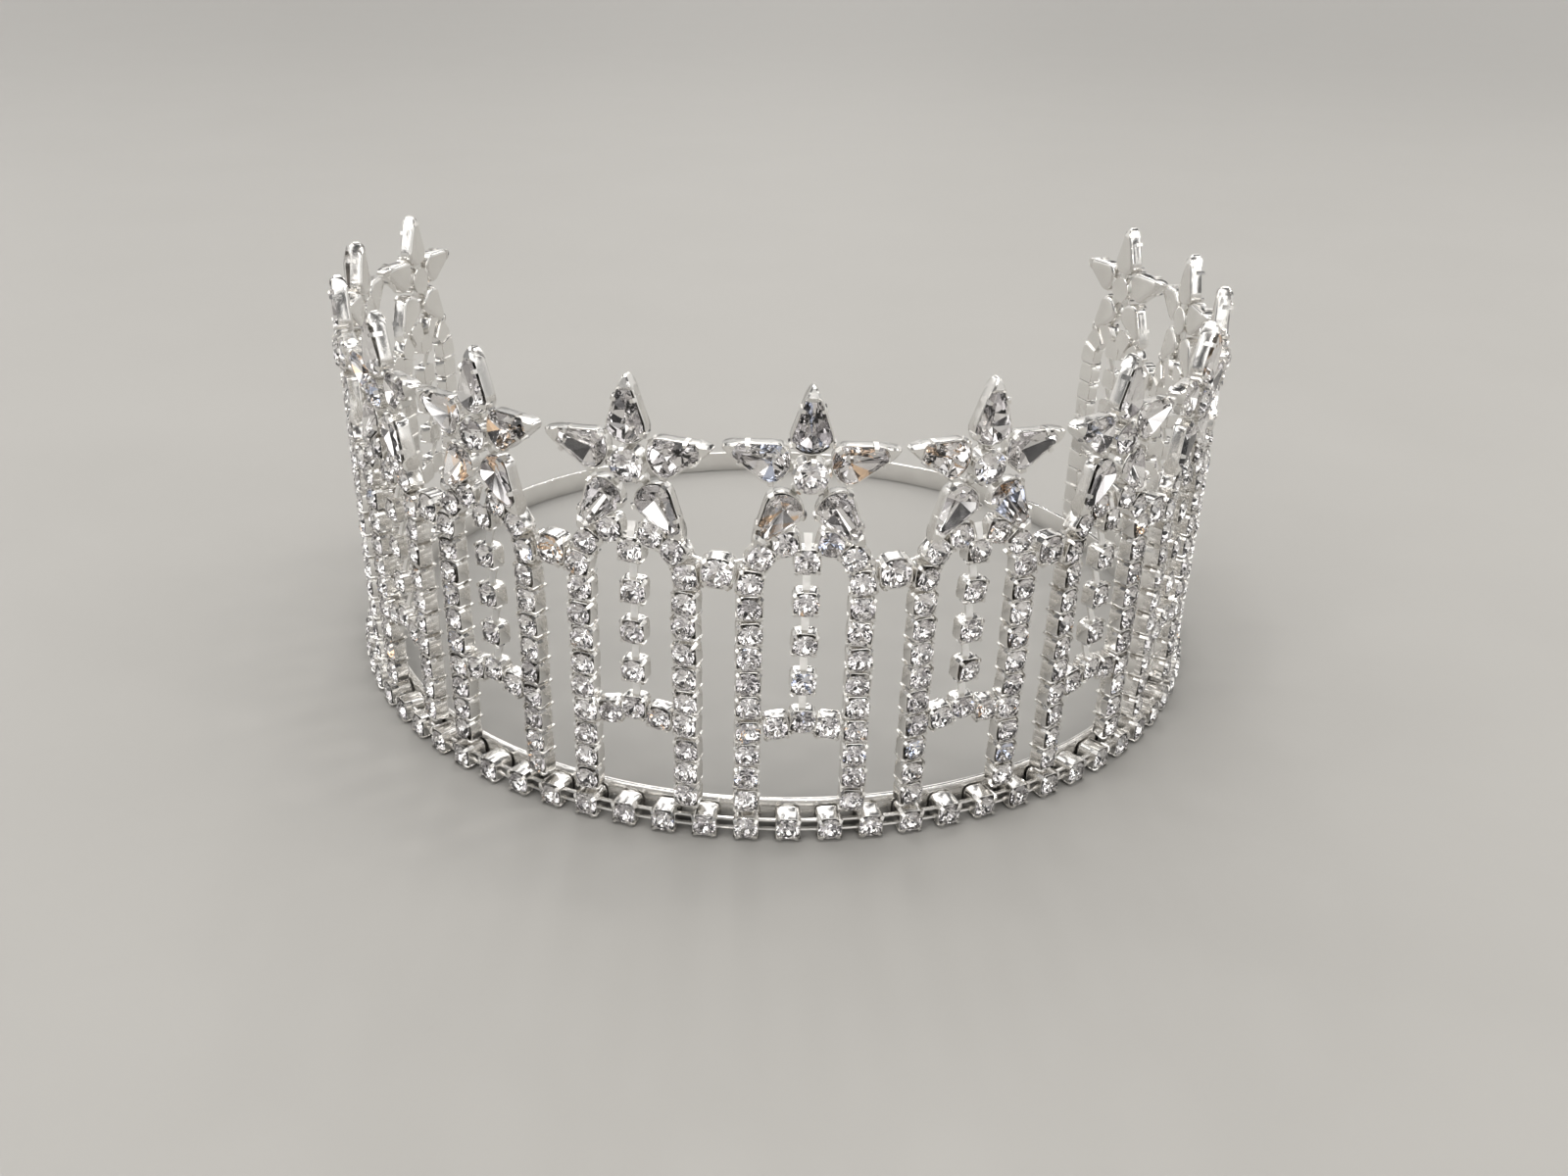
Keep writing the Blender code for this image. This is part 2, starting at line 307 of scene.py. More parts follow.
plate = {"bright": (0.88, 0.87, 0.85, 1), "worn": (0.64, 0.62, 0.59, 1), "wearFrom": 0.35, "wearGain": 1.2,
         "roughness": 0.14, "smear": 0.24, "smearPower": 1.4, "bump": 0.09, "bumpDepth": 0.002,
         "broadScale": 90.0, "fineScale": 900.0, "waveScale": 260.0, "fineShare": 0.12}


def silverPlate():
    # Polished plate: broad soft tone changes, handling smears in the gloss, and a fine ripple
    material, tree, shader = newMaterial("silverPlate", {"Metallic": 1.0})
    broad = noiseAt(tree, plate["broadScale"], 3.0)
    fine = noiseAt(tree, plate["fineScale"], 4.0)
    smear = (broad * fine) ** plate["smearPower"]
    wear = (broad - plate["wearFrom"]) * plate["wearGain"]
    colour = blended(tree, wear, plate["bright"], plate["worn"])
    wave = noiseAt(tree, plate["waveScale"], 1.0) + fine * plate["fineShare"]
    ripple = addNode(tree, "ShaderNodeBump", {},
                     {"Strength": plate["bump"], "Distance": plate["bumpDepth"], "Height": wave})
    feed(tree, shader, {"Base Color": colour, "Roughness": smear * plate["smear"] + plate["roughness"],
                        "Normal": ripple})
    return material


solder = {"bright": (0.95, 0.94, 0.92, 1), "dull": (0.72, 0.71, 0.69, 1), "roughness": 0.26, "spread": 0.25,
          "bump": 0.35, "bumpDepth": 0.0003, "scale": 700.0}


def softSolder():
    # Solder: greyer, with a frosted, slightly lumpy skin
    material, tree, shader = newMaterial("softSolder", {"Metallic": 1.0})
    lump = noiseAt(tree, solder["scale"], 3.0)
    colour = blended(tree, lump, solder["bright"], solder["dull"])
    skin = addNode(tree, "ShaderNodeBump", {},
                   {"Strength": solder["bump"], "Distance": solder["bumpDepth"], "Height": lump})
    feed(tree, shader, {"Base Color": colour, "Roughness": lump * solder["spread"] + solder["roughness"],
                        "Normal": skin})
    return material


# Foil colours: silver is the foil's own; grey is a painted dark reflection, orange and blue are painted
# flashes
foilAndPaintedGlints = {"silver": (0.93, 0.92, 0.92, 1), "grey": (0.55, 0.535, 0.545, 1), "orange": (1.0, 0.74, 0.52, 1),
        "blue": (0.72, 0.80, 1.0, 1), "greyFrom": 0.02, "silverFrom": 0.22, "orangeFrom": 0.975,
        "roughness": 0.02, "spread": 0.04, "cloudScale": 1200.0, "smallFlash": 0.010, "starFlash": 0.035}


def stoneFoilPaintedGlints():
    # Mirror foil behind each stone, with painted light in its colour. Every facet has its own painted glint
    #     # number: most are silver, a few greyer as painted dark reflections, and one in many is a painted
    #     orange or
    #     # blue flash, standing in for the fire that cut stones show.
    material, tree, shader = newMaterial("stoneFoilPaintedGlints", {"Metallic": 1.0})
    glint = addNode(tree, "ShaderNodeAttribute", {"attribute_name": "glint"}, {}, "Fac")
    stops = [(0.0, foilAndPaintedGlints["blue"]), (foilAndPaintedGlints["greyFrom"], foilAndPaintedGlints["grey"]), (foilAndPaintedGlints["silverFrom"], foilAndPaintedGlints["silver"]),
             (foilAndPaintedGlints["orangeFrom"], foilAndPaintedGlints["orange"])]
    settings = {"stops": stops, "interpolation": "CONSTANT"}
    colour = addNode(tree, "ShaderNodeValToRGB", settings, {"Fac": glint})
    cloud = noiseAt(tree, foilAndPaintedGlints["cloudScale"])
    feed(tree, shader, {"Base Color": colour, "Roughness": cloud * foilAndPaintedGlints["spread"] + foilAndPaintedGlints["roughness"]})
    return material


def clearStone():
    # Clear crystal, see-through by plain values
    return newMaterial("clearStone", {"Base Color": (1, 1, 1, 1), "Roughness": 0.0, "IOR": 1.56,
                                      "Transmission Weight": 1.0})[0]


silver, solderSkin, foilWithPaintedGlints, crystal = silverPlate(), softSolder(), stoneFoilPaintedGlints(), clearStone()
metals, stones = [silver, solderSkin], [crystal, foilWithPaintedGlints]
print("materials ready")


def madePair(metalName, stoneName, shapes, turn, node, flash):
    # The metal and the stones of one node, turned to their place round the ring
    metal, stone = shapes
    madePiece(metalName, turnedRound(metal, turn), metals, [node])
    madePiece(stoneName, turnedRound(stone, turn), stones, [node], False, flash)


stoneCut = {"table": 0.56, "middle": 0.80, "keel": 0.46, "crown": 0.32, "pavilion": 0.88}


def roundStone(radius, girdle):
    # A brilliant: an eight-sided table, eight star facets, eight kites and sixteen girdle facets above,
    # eight kites and sixteen girdle facets below. Each kite is flat: height = crown x (1 - reach) /
    # (1 - table), reach being the part of the radius along the kite's own direction.
    cut = stoneCut
    odd = np.radians(22.5 + 45 * np.arange(8))
    even = np.radians(45 * np.arange(8))
    every = np.radians(22.5 * np.arange(16))
    lean = math.cos(math.radians(22.5))
    crown, pavilion = cut["crown"] * radius, cut["pavilion"] * radius

    def ring(angle, share, height):
        return np.stack([radius * share * np.cos(angle), radius * share * np.sin(angle),
                         np.full(len(angle), girdle + height)], axis=1)

    middleHeight = crown * (1 - cut["middle"] * lean) / (1 - cut["table"])
    keelHeight = -pavilion * (1 - cut["keel"] * lean)
    points = np.concatenate([ring(odd, cut["table"], crown), ring(even, cut["middle"], middleHeight),
                             ring(every, 1.0, 0.0), ring(even, cut["keel"], keelHeight),
                             [[0, 0, girdle - pavilion]]])
    i = np.arange(8)
    table, middle, keel, culet = i, 8 + i, 32 + i, np.full(8, 40)
    girdleEven, girdleOdd, girdleBefore = 16 + 2 * i, 17 + 2 * i, 16 + (2 * i - 1) % 16
    tableBefore, middleNext, keelNext = (i - 1) % 8, 8 + (i + 1) % 8, 32 + (i + 1) % 8

    def facets(*corners):
        return np.stack(corners, axis=1)

    above = [table[None], facets(tableBefore, middle, table), facets(table, middle, girdleOdd, middleNext),
             facets(middle, girdleEven, girdleOdd), facets(middle, girdleBefore, girdleEven)]
    below = [facets(culet, keelNext, girdleOdd, keel), facets(keel, girdleOdd, girdleEven),
             facets(keel, girdleEven, girdleBefore)]
    return points, [(numbers, 0) for numbers in above] + [(numbers, 1) for numbers in below]


def prong(outline, base, height, reach, width, thick):
    # A flat claw up the wall at one point of the outline, bent over the stone: a tapering bar on a path
    path = [[outline + 0.02, 0, base], [outline + 0.06, 0, height - 0.42],
            [outline - 0.35 * reach, 0, height - 0.06], [outline - reach, 0, height]]
    section = [[1, -1], [1, 1], [-1, 1], [-1, -1]]
    sizes = [[thick, width], [thick, width], [thick * 0.9, width * 0.85], [thick * 0.55, width * 0.6]]
    return swept(path, [0, 1, 0], section, sizes)


def prongsRound(shape, count, start):
    turns = spun(np.radians(start) + np.arange(count) * 2 * np.pi / count)
    return stamped(shape, turns, np.zeros((count, 3)))


cup = {"half": 2.0, "round": 0.85, "rim": 2.32, "stone": 1.90, "girdle": 2.42, "corner": 2.42, "lip": 0.03,
       "prongTop": 2.86, "prongReach": 0.74, "prongWidth": 0.27, "prongThick": 0.13}


def cupShell(outline, rim):
    # A pressed cup: flat back with a small lip, straight wall, thin rim, and the inside down to its floor
    lip = 1 + cup["lip"]
    profile = [(lip - 0.03, 0.0), (lip, 0.16), (1.0, 0.26), (1.0, rim - 0.05), (0.95, rim),
               (0.90, rim - 0.03), (0.84, 0.5)]
    return stacked(grown(outline, profile))


def smallCup():
    claw = prong(cup["corner"], 1.3, cup["prongTop"], cup["prongReach"], cup["prongWidth"], cup["prongThick"])
    shell = cupShell(roundedSquare(cup["half"], cup["round"]), cup["rim"])
    return joined([shell, prongsRound(claw, 4, 45)])


def flatBar(start, end, width, thick, paint=0, endWidth=None):
    # A plate from start to end, its width across the arch and its thickness out of it
    path = np.linspace(start, end, 3)
    section = np.array([[1, -1], [1, 1], [-1, 1], [-1, -1]]) / 2
    widths = np.linspace(width, endWidth or width, 3)
    return swept(path, [1, 0, 0], section, np.stack([np.full(3, thick), widths], axis=1), paint=paint)


def solderLump(width, height, place):
    # A flattened bead of solder: rings that close in as they rise, and a shallow underside
    profile = [(0.6, -0.35 * height), (0.95, -0.1 * height), (1.0, 0.15 * height), (0.86, 0.6 * height),
               (0.5, 0.92 * height)]
    points, faces = stacked(grown(circle(width, 10), profile), 1)
    return points + np.array(place), faces


arch = {"cupWidth": 4.2, "columnStones": 10, "shoulder": 68.7, "crown": 31.7, "drops": 4, "slope": 15.0,
        "crossbarStone": 3, "waist": 2.9, "linkWidth": 1.15, "linkThick": 0.4, "linkOverlap": 0.4,
        "tongueWidth": 1.3, "tongueEnd": 0.85, "tabWidth": 3.95, "tabThick": 0.32, "tabBehind": 0.42,
        "plateHalf": 1.0, "plateWidth": 1.2, "plateThick": 0.36, "spinLoose": 2.2, "placeLoose": 0.04,
        "leanLoose": 0.03, "stoneLean": 0.05}


def hoopPlaces():
    # Right-hand column, shoulder stone and top stone, with the turn of each cup
    width = arch["cupWidth"]
    columnX = archHigh[0] - width / 2
    places = [(columnX, archFoot + width / 2 + i * width) for i in range(arch["columnStones"])]
    for angle in np.radians([arch["shoulder"], arch["crown"]]):
        x, z = places[-1]
        places.append((x - width * math.cos(angle), z + width * math.sin(angle)))
    places = np.array(places)
    onward = np.vstack([places[1:], places[-1] * [-1, 1]])
    before = np.vstack([places[:1] - [0, width], places[:-1]])
    run = onward - before
    return places, np.arctan2(run[:, 1], run[:, 0]) - np.pi / 2


def dropPlaces():
    # The four drop stones and the crossbar's middle stone, evenly spaced below the two top stones
    width, slope = arch["cupWidth"], math.radians(arch["slope"])
    topX, topZ = hoopPlaces()[0][-1]
    barZ = archFoot + width / 2 + arch["crossbarStone"] * width + (width - arch["waist"]) / 2
    first = topZ - math.sqrt(width ** 2 - topX ** 2)
    last = barZ + width * math.sin(slope)
    heights = np.linspace(first, last, arch["drops"] + 1)
    return np.stack([np.zeros_like(heights), heights], axis=1), np.array([width * math.cos(slope), barZ])


def archShapes():
    hoop, turns = hoopPlaces()
    drops, barSide = dropPlaces()
    mirror = np.array([-1, 1])
    slope = math.radians(arch["slope"]) * 0.5
    places = np.vstack([hoop, hoop * mirror, drops, barSide, barSide * mirror])
    spins = np.concatenate([turns, -turns, np.zeros(len(drops)), [-slope, slope]])
    count = len(places)
    spins = spins + np.radians(dice.normal(0, arch["spinLoose"], count))
    shifts = dice.normal(0, arch["placeLoose"], (count, 2))
    seats = np.concatenate([places + shifts, np.zeros((count, 1))], axis=1)
    cupTurns = spun(spins) @ looseLeans(arch["leanLoose"], count)
    metal = [stamped(smallCup(), cupTurns, seats)]
    stoneLean = looseLeans(arch["stoneLean"], count)
    stoneTurns = cupTurns @ spun(dice.uniform(0, np.pi / 4, count)) @ stoneLean
    stone = stamped(roundStone(cup["stone"], cup["girdle"]), stoneTurns, seats)

    # A small tab stands out behind every joint of the tight chain, seen from the side as a bright dash
    joints = (hoop[:-1] + hoop[1:]) / 2
    run = hoop[1:] - hoop[:-1]
    jointTurns = np.arctan2(run[:, 1], run[:, 0]) - np.pi / 2
    jointPlate = flatBar([0, 0.2, -arch["tabBehind"]], [0, -0.1, 1.0], arch["tabWidth"], arch["tabThick"])
    for side in (1, -1):
        seat = np.concatenate([joints * [side, 1], np.zeros((len(joints), 1))], axis=1)
        metal.append(stamped(jointPlate, spun(side * jointTurns), seat))

    # Links of the drop, at the backs of its cups, and the bright tongue between the two top stones
    inset = cup["half"] - arch["linkOverlap"]
    for upper, lower in zip(drops[:-1], drops[1:]):
        metal.append(flatBar([0, upper[1] - inset, 0.1], [0, lower[1] + inset, 1.3], arch["linkWidth"],
                             arch["linkThick"], 1))
    topX, topZ = hoop[-1]
    metal.append(flatBar([0, topZ + 1.3, 0.9], [0, drops[0][1] + inset, 2.1], arch["tongueWidth"],
                         arch["linkThick"], 1, arch["tongueEnd"]))
    # The crossbar's stones are joined to each other and to the columns by short plates
    half = arch["plateHalf"]
    bar = flatBar([0, -half, 0.3], [0, half, 0.3], arch["plateWidth"], arch["plateThick"])
    columnSide = np.array([hoop[0][0], barSide[1] + 0.4])
    for side in (1, -1):
        for start, end in ((drops[-1], barSide), (barSide, columnSide)):
            way = (end - start) * [side, 1]
            centre = (end + start) / 2 * [side, 1]
            turn = spun(math.atan2(way[1], way[0]) - np.pi / 2)
            metal.append(stamped(bar, turn, [[centre[0], centre[1], 0]]))
    # Solder at the columns' feet, against the band, and under the star's legs
    for side in (1, -1):
        metal.append(solderLump(1.1, 0.5, [side * hoop[0][0], archFoot + 0.6, 0.2]))
        metal.append(solderLump(1.0, 0.9, [side * (topX + 0.6), topZ + 2.0, 0.6]))
    return joined(metal), stone


for number, turn in enumerate(archTurns, 1):
    shapes = [onArch(shape) for shape in archShapes()]
    madePair(f"archCups{number:02d}", f"archStones{number:02d}", shapes, turn, f"arch_{number:02d}",
             foilAndPaintedGlints["smallFlash"])
print("arches done")


star = {"arms": 5, "seat": 0.42, "halfLength": 0.19, "halfWidth": 0.235, "bulge": 0.32, "rim": 2.42,
        "stoneInset": 0.24, "tableInset": 1.05, "girdle": 2.46, "table": 3.12, "panelRise": 0.07,
        "keel": 0.44, "keelHeight": 1.05, "facetCrowding": 1.1, "wallCrowding": 1.7, "standOff": 0.05,
        "clawFoot": 1.2, "clawTop": 3.12, "clawReach": 0.66, "clawThick": 0.2,
        "middleHalf": 2.62, "middleRim": 3.0, "middleStone": 2.45, "middleGirdle": 3.12,
        "fingerStart": 0.86, "fingerHold": 0.9, "fingerMiddle": 1.45, "drop": 0.08, "legOut": 0.6,
        "spinLoose": 0.7, "leanLoose": 0.02, "stoneLean": 0.03}


def pearRing(inset, sidePoints, endPoints, crowding):
    # Two sides from the point, tangent to an ellipse at the round end. A side touches the ellipse where
    # cos(angle) = half length / distance from the point to the ellipse's centre, and swells by
    # bulge x 27/4 x share x (1 - share)^2, most at a third of the way from the point. Crowding is the
    # power that draws the side's corners towards the point.
    seat, length, width = (star[name] * starRadius for name in ("seat", "halfLength", "halfWidth"))
    far = starRadius - seat
    touch = math.acos(length / far)
    opening = math.atan2(width * math.sin(touch), far - length * math.cos(touch))
    tip = np.array([starRadius - inset / math.sin(opening), 0.0])
    length, width = length - inset, width - inset
    touch = math.acos(length / (tip[0] - seat))
    end = np.linspace(touch, 2 * np.pi - touch, endPoints)
    arc = np.stack([seat + length * np.cos(end), width * np.sin(end)], axis=1)
    share = np.linspace(0, 1, sidePoints + 2)[1:-1, None] ** crowding
    swell = star["bulge"] * 6.75 * share * (1 - share) ** 2
    side = tip + (arc[0] - tip) * share + swell * [math.sin(opening), math.cos(opening)]
    return np.concatenate([tip[None], side, arc, side[::-1] * [1, -1]])


def lifted(outline, height):
    return np.concatenate([outline, np.full((len(outline), 1), height)], axis=1)


def pearStone():
    # Crown: every corner of the girdle joins the table's corner inside it, and each panel between is cut
    # into four small facets about a raised middle. Below, two long facets meet on a ridge from the point
    # to the keel, and four broad ones close the round end.
    crowding = star["facetCrowding"]
    girdle = lifted(pearRing(star["stoneInset"], 2, 9, crowding), star["girdle"])
    table = lifted(pearRing(star["tableInset"], 2, 9, crowding), star["table"])
    corners = len(girdle)
    i = np.arange(corners)
    onward = (i + 1) % corners
    panel = (girdle + girdle[onward] + table + table[onward]) / 4 + [0, 0, star["panelRise"]]
    keel = [[star["keel"] * starRadius, 0, star["keelHeight"]]]
    points = np.concatenate([girdle, table, panel, keel])
    top, mid, bottom = corners, 2 * corners, 3 * corners
    crown = [np.stack(facet, axis=1) for facet in (
        (i, onward, mid + i), (onward, top + onward, mid + i), (top + onward, top + i, mid + i),
        (top + i, i, mid + i))]
    crown.append((top + i)[None])
    sides = np.array([0, 1, 2, corners - 3, corners - 2, corners - 1])
    pavilion = [np.stack([np.full(6, bottom), onward[sides], sides], axis=1)]
    ends = np.array([3, 5, 7, 9])
    pavilion.append(np.stack([np.full(4, bottom), ends + 2, ends], axis=1))
    pavilion.append(np.stack([ends + 2, ends + 1, ends], axis=1))
    return points, [(numbers, 0) for numbers in crown] + [(numbers, 1) for numbers in pavilion]


def tipRounded(shape):
    # Seen from the side the setting ends like a fingertip: near the point every height is drawn towards
    # the middle of the depth by the square root of 1 - hold x (share of the way to the point)^2
    points, faces = shape
    share = np.clip((points[:, 0] / starRadius - star["fingerStart"]) / (1 - star["fingerStart"]), 0, 1)
    keep = np.sqrt(1 - star["fingerHold"] * share ** 2)
    middle = star["fingerMiddle"]
    return np.stack([points[:, 0], points[:, 1], middle + (points[:, 2] - middle) * keep], axis=1), faces


def pearCup():
    # Each row is (inset from the outline, height): a domed back, the straight wall, the rim and the inside
    rim, crowding = star["rim"], star["wallCrowding"]
    rows = [(0.95, 0.0), (0.48, 0.09), (0.17, 0.28), (0.03, 0.55), (0.0, rim - 0.1), (0.09, rim),
            (0.26, rim - 0.03), (0.42, 0.6)]
    rings = [lifted(pearRing(inset, 5, 13, crowding), height) for inset, height in rows]
    parts = [stacked(np.stack(rings))]
    # Claws square to the outline, at the shoulders and half-way along the sides
    edge = pearRing(0.0, 5, 13, crowding)
    run = np.roll(edge, -1, axis=0) - np.roll(edge, 1, axis=0)
    facing = np.arctan2(run[:, 1], run[:, 0]) - np.pi / 2
    for place, width in ((4, 0.36), (8, 0.46), (16, 0.46), (len(edge) - 4, 0.36)):
        claw = prong(0.0, star["clawFoot"], star["clawTop"], star["clawReach"], width, star["clawThick"])
        parts.append(stamped(claw, spun(facing[place]), [[edge[place, 0], edge[place, 1], 0]]))
    # The folded metal point: a sleeve round the tip, whose edge shows as a seam across the wall
    tip = starRadius
    half = np.array([[tip - 0.04, 0.0], [tip - 0.2, 0.24], [tip - 0.55, 0.46], [tip - 1.2, 0.8],
                     [tip - 2.1, 1.2], [tip - 2.3, 0.6]])
    cap = np.concatenate([half, half[:0:-1] * [1, -1]])
    middle = np.array([tip - 0.8, 0.0])
    rows = [(0.75, -0.02), (1.0, 0.25), (1.0, rim + 0.1), (0.6, rim + 0.45)]
    rings = [lifted((cap - middle) * share + middle, height) for share, height in rows]
    parts.append(stacked(np.stack(rings)))
    return tipRounded(joined(parts))


def starShapes():
    count = star["arms"]
    arms = np.pi / 2 + np.arange(count) * 2 * np.pi / count
    turns = spun(arms + np.radians(dice.normal(0, star["spinLoose"], count)))
    turns = turns @ looseLeans(star["leanLoose"], count)
    middle = starMiddle - star["drop"]
    # The two legs stand a little farther out than the other arms, over the shoulder stones
    outward = np.where(np.sin(arms) < -0.5, star["legOut"], 0.0)
    seat = np.stack([outward * np.cos(arms), middle + outward * np.sin(arms),
                     np.full(count, star["standOff"])], axis=1)
    stoneTurns = turns @ looseLeans(star["stoneLean"], count)
    metal = [stamped(pearCup(), turns, seat)]
    stone = [stamped(tipRounded(pearStone()), stoneTurns, seat)]
    shell = cupShell(circle(star["middleHalf"], 16), star["middleRim"])
    claw = prong(star["middleHalf"] + 0.06, 1.6, star["middleRim"] + 0.72, 0.75, 0.4, 0.15)
    centre = joined([shell, prongsRound(claw, 5, 18)])
    spin = spun(np.radians(dice.uniform(-8, 8)))
    centreSeat = [[0, middle, 0.0]]
    metal.append(stamped(centre, spin, centreSeat))
    centreStone = roundStone(star["middleStone"], star["middleGirdle"])
    stone.append(stamped(centreStone, spin @ spun(dice.uniform(0, 0.7)), centreSeat))
    # A bead of solder behind each arm's round end holds it to the middle cup
    bead = solderLump(1.0, 0.7, [(star["seat"] - star["halfLength"]) * starRadius - 0.1, 0, 0.45])
    metal.append(stamped(bead, spun(arms), np.tile(centreSeat, (count, 1))))
    return joined(metal), joined(stone)


for number, turn in enumerate(archTurns, 1):
    shapes = [onArch(shape) for shape in starShapes()]
    madePair(f"starSetting{number:02d}", f"starStones{number:02d}", shapes, turn, f"star_{number:02d}",
             foilAndPaintedGlints["starFlash"])
print("stars done")


spacer = {"half": 2.5, "round": 1.6, "rim": 2.55, "stone": 2.3, "girdle": 2.68, "spinMost": 6, "wire": 0.3,
          "wireReach": 2.2, "wireSag": 0.9}


def spacerShapes():
    claw = prong(spacer["half"] + 0.32, 1.4, spacer["rim"] + 0.72, 0.95, 0.42, 0.16)
    shell = cupShell(roundedSquare(spacer["half"], spacer["round"], 4), spacer["rim"])
    middle = joined([shell, prongsRound(claw, 4, 45)])
    seat = [[0, spacerMiddle, 0.0]]
    spin = spun(np.radians(dice.uniform(-spacer["spinMost"], spacer["spinMost"])))
    metal = [stamped(middle, spin, seat)]
    # A thin wire runs from each upper corner to the shoulder cup beside it
    wire = circle(spacer["wire"], 6)
    reach = archFace * math.tan(turnStep / 2) - archHigh[0] + spacer["wireReach"]
    share = np.linspace(0, 1, 5)[:, None]
    for side in (1, -1):
        start = np.array([side * 1.9, spacerMiddle + 1.5, 1.5])
        end = np.array([side * reach, spacerMiddle + 2.6, 1.0])
        sag = share * (1 - share) * np.array([0, -spacer["wireSag"], 0])
        metal.append(swept(start * (1 - share) + end * share + sag, [0, 0, 1], wire))
    stone = stamped(roundStone(spacer["stone"], spacer["girdle"]), spin @ spun(dice.uniform(0, 0.7)), seat)
    return joined(metal), stone


for number, turn in enumerate(archTurns[:-1] + turnStep / 2, 1):
    shapes = [onArch(shape) for shape in spacerShapes()]
    madePair(f"spacerCup{number:02d}", f"spacerStone{number:02d}", shapes, turn, f"spacer_{number:02d}",
             foilAndPaintedGlints["smallFlash"])
print("spacers done")


chain = {"perArch": 4, "half": 1.96, "rim": 3.5, "girdle": 3.62, "rail": 0.34, "railGap": 1.7, "depth": 4.4,
         "corner": 2.36, "spinLoose": 1.6, "spinMost": 3.0, "leanLoose": 0.04, "leanMost": 0.035}


def chainShapes():
    turns = archTurns[0] - math.asin((archHigh[0] - arch["cupWidth"] / 2) / archFace) + \
        np.arange(chain["perArch"] * len(archTurns) - 1) * turnStep / chain["perArch"]
    count = len(turns)
    back, height = chainFace - chain["depth"], chainHigh[2] / 2
    # Out of the ring at each turn: across, up and out become the ring's own directions
    across = np.stack([np.cos(turns), np.sin(turns), np.zeros(count)], axis=1)
    out = np.stack([np.sin(turns), -np.cos(turns), np.zeros(count)], axis=1)
    frames = np.stack([across, np.broadcast_to(upright, across.shape), out], axis=2)
    seats = out * back + upright * height
    claw = prong(chain["corner"], 2.2, chain["rim"] + 0.66, 0.95, 0.3, 0.13)
    shell = cupShell(roundedSquare(chain["half"], cup["round"]), chain["rim"])
    footed = joined([shell, prongsRound(claw, 4, 45)])
    # The spin is held so that no corner goes below the shelf
    spins = np.clip(dice.normal(0, chain["spinLoose"], count), -chain["spinMost"], chain["spinMost"])
    turned = frames @ spun(np.radians(spins))
    metal = [stamped(footed, turned, seats)]
    leans = np.clip(dice.normal(0, chain["leanLoose"], (2, count)), -chain["leanMost"], chain["leanMost"])
    stoneTurns = turned @ spun(dice.uniform(0, np.pi / 4, count)) @ leaned(*leans)
    stone = stamped(roundStone(cup["stone"], chain["girdle"]), stoneTurns, seats)
    # Two rails through the cups, and solder between every second cup's back and the band
    way = np.linspace(turns[0], turns[-1], 4 * count)
    wire = circle(chain["rail"], 8)
    for side in (1, -1):
        radius = back + chain["depth"] / 2
        path = np.stack([radius * np.sin(way), -radius * np.cos(way),
                         np.full(len(way), height + side * chain["railGap"] / 2)], axis=1)
        metal.append(swept(path, upright, wire))
    metal.append(stamped(solderLump(1.25, 0.55, [0, 1.0, -0.05]), frames[1::2], seats[1::2]))
    return joined(metal), stone


madePair("baseChainCups", "baseChainStones", chainShapes(), 0.0, "base_chain", foilAndPaintedGlints["smallFlash"])


band = {"thick": 1.0, "steps": 240, "round": 0.22}


def bandStrip():
    # A flat strip bent into a ring. Its section is a rectangle with eased corners.
    angle = np.arange(band["steps"]) * 2 * np.pi / band["steps"]
    radius = bandRadius - band["thick"] / 2
    level = np.full(len(angle), bandHeight / 2)
    path = np.stack([radius * np.cos(angle), radius * np.sin(angle), level], axis=1)
    ease = band["round"]
    wide, tall = band["thick"] / 2, bandHeight / 2
    corner = np.radians([0, 30, 60, 90])
    quarter = np.stack([np.cos(corner), np.sin(corner)], axis=1) * ease + [wide - ease, tall - ease]
    section = np.concatenate([quarter, quarter[::-1] * [-1, 1], -quarter, quarter[::-1] * [1, -1]])
    return swept(path, upright, section, loop=True)


madePiece("bandRing", turnedRound(bandStrip(), 0.0), metals, ["base_band"])
print("base done")


# Plain pale floor, and soft studio light from above with a few brighter panels. Lengths are in metres.
ground = {"dark": (0.40, 0.39, 0.37, 1), "light": (0.44, 0.43, 0.41, 1), "specular": 0.3, "roughness": 0.5,
          "spread": 0.1, "scale": 14.0, "half": 9}


def paleFloor():
    material, tree, shader = newMaterial("paleFloor", {"Specular IOR Level": ground["specular"]})
    grain = noiseAt(tree, ground["scale"], 4.0)
    feed(tree, shader, {"Base Color": blended(tree, grain, ground["dark"], ground["light"]),
                        "Roughness": grain * ground["spread"] + ground["roughness"]})
    mesh = bpy.data.meshes.new("floor")
    half = ground["half"]
    mesh.from_pydata([(-half, -half, 0), (half, -half, 0), (half, half, 0), (-half, half, 0)], [],
                     [(0, 1, 2, 3)])
    mesh.materials.append(material)
    floor = bpy.data.objects.new("floor", mesh)
    bpy.context.scene.collection.objects.link(floor)


def panel(name, place, target, width, height, watts, colour=(1, 1, 1)):
    lamp = bpy.data.lights.new(name, "AREA")
    lamp.shape, lamp.size, lamp.size_y, lamp.energy, lamp.color = "RECTANGLE", width, height, watts, colour
    item = bpy.data.objects.new(name, lamp)
    place, target = np.array(place, float), np.array(target, float)
    back = (place - target) / np.linalg.norm(place - target)
    right = np.cross([0, 1, 0] if abs(back[2]) > 0.95 else [0, 0, 1], back)
    right /= np.linalg.norm(right)
    matrix = Matrix.Identity(4)
    for column, axis in enumerate((right, np.cross(back, right), back, place)):
        for row in range(3):
            matrix[row][column] = axis[row]
    item.matrix_world = matrix
    bpy.context.scene.collection.objects.link(item)


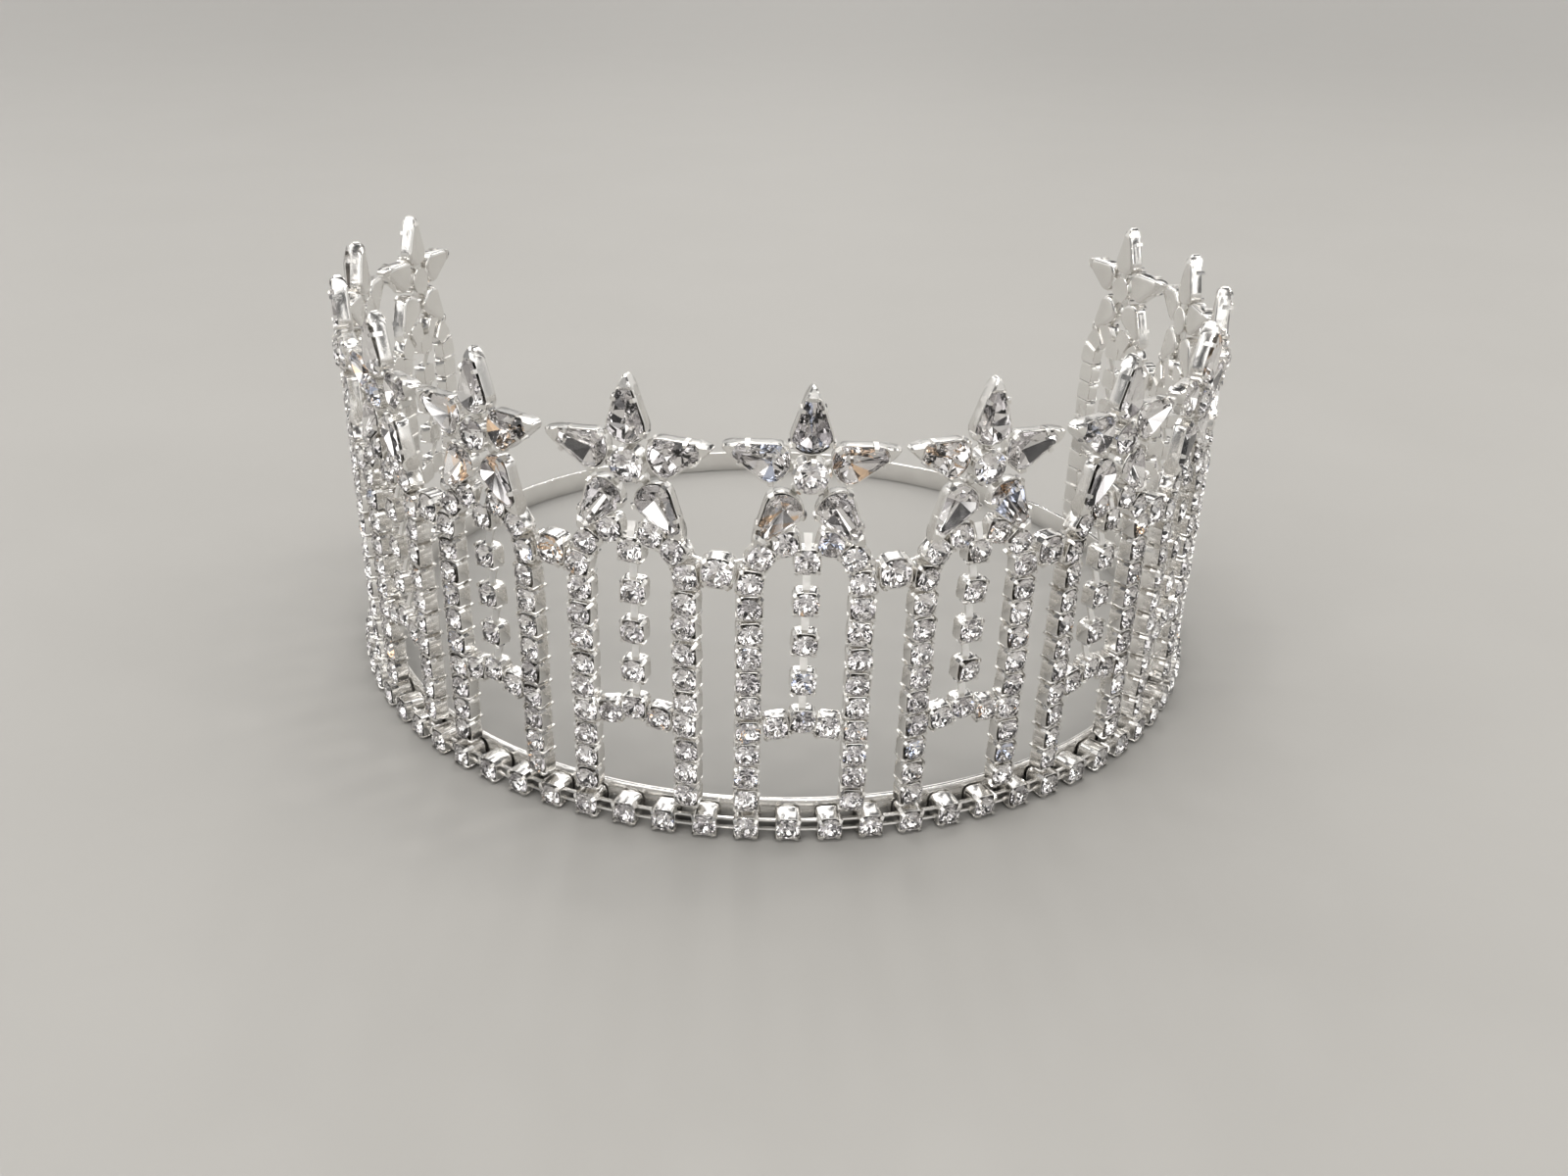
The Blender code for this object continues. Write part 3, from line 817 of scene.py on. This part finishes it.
paleFloor()
panels = {"size": 0.045, "glow": 70, "spots": [(-0.62, -0.60, 0.70), (0.70, -0.45, 0.62), (0.12, -0.85, 0.85),
                                              (-0.30, -0.20, 1.10), (0.38, 0.15, 1.05), (-0.85, 0.25, 0.55),
                                              (0.90, 0.45, 0.60), (0.0, 0.85, 0.80), (-0.2, -1.0, 0.32)]}
for number, place in enumerate(panels["spots"], 1):
    size = panels["size"]
    warm = (1.0, 0.95, 0.88) if number % 2 else (1.0, 0.99, 0.97)
    panel(f"spot{number}", place, (0, 0, 0.035), size, size, math.pi * size * size * panels["glow"], warm)
panel("topSoft", (0.0, 0.1, 1.3), (0, 0, 0), 0.8, 0.4, 2.0)

# Room light: a soft pale-to-grey backdrop near the horizon, and above it bright with broad dark areas for
# the facets to catch
room = {"pale": (0.90, 0.88, 0.85, 1), "grey": (0.26, 0.26, 0.26, 1), "bright": (2.0, 1.97, 1.93, 1),
        "dark": (0.015, 0.015, 0.018, 1), "strength": 0.9, "patch": 3.4, "backdrop": 1.1}
world = bpy.data.worlds.new("studio")
bpy.context.scene.world = world
world.use_nodes = True
sky = world.node_tree
heading = addNode(sky, "ShaderNodeTexCoord", {}, {}, "Generated")
height = addNode(sky, "ShaderNodeSeparateXYZ", {}, {"Vector": heading}, "Z")
cloud = addNode(sky, "ShaderNodeTexNoise", {}, {"Vector": heading, "Scale": room["patch"], "Detail": 1.0})
broad = addNode(sky, "ShaderNodeTexNoise", {}, {"Vector": heading, "Scale": room["backdrop"], "Detail": 0.0})
patches = addNode(sky, "ShaderNodeValToRGB", {"stops": [(0.47, (0, 0, 0, 1)), (0.50, (1, 1, 1, 1))]},
                  {"Fac": cloud})
backdrop = addNode(sky, "ShaderNodeValToRGB", {"stops": [(0.38, (0, 0, 0, 1)), (0.58, (1, 1, 1, 1))]},
                   {"Fac": broad})
risen = addNode(sky, "ShaderNodeValToRGB", {"stops": [(0.22, (0, 0, 0, 1)), (0.30, (1, 1, 1, 1))]},
                {"Fac": height})
shade = blended(sky, risen, blended(sky, backdrop, room["grey"], room["pale"]),
                blended(sky, patches, room["dark"], room["bright"]))
sky.links.new(shade.socket, sky.nodes["Background"].inputs["Color"])
sky.nodes["Background"].inputs["Strength"].default_value = room["strength"]
cycles = bpy.context.scene.cycles
cycles.caustics_reflective = cycles.caustics_refractive = False
cycles.max_bounces, cycles.glossy_bounces, cycles.transmission_bounces = 14, 8, 14
bpy.context.scene.view_settings.view_transform = "Standard"

# Camera at the photograph's viewing angle: place in metres, angles in degrees
view = {"place": (-0.014401, -0.253196, 0.130098), "down": 26.278, "right": 3.63, "roll": 1.629,
        "lens": 31.05, "nearest": 0.005, "farthest": 40.0}


def photoCamera():
    down, right, roll = (math.radians(view[name]) for name in ("down", "right", "roll"))
    ahead = np.array([math.sin(right) * math.cos(down), math.cos(right) * math.cos(down), -math.sin(down)])
    level = np.array([math.cos(right), -math.sin(right), 0.0])
    above = np.cross(level, ahead)
    rightward = level * math.cos(roll) + above * math.sin(roll)
    upward = np.cross(rightward, ahead)
    camera = bpy.data.cameras.new("photoView")
    camera.sensor_width, camera.lens = 36.0, view["lens"]
    camera.clip_start, camera.clip_end = view["nearest"], view["farthest"]
    item = bpy.data.objects.new("photoView", camera)
    matrix = Matrix.Identity(4)
    for column, axis in enumerate((rightward, upward, -ahead, view["place"])):
        for row in range(3):
            matrix[row][column] = axis[row]
    item.matrix_world = matrix
    bpy.context.scene.collection.objects.link(item)
    bpy.context.scene.camera = item


photoCamera()
print("camera and light ready")
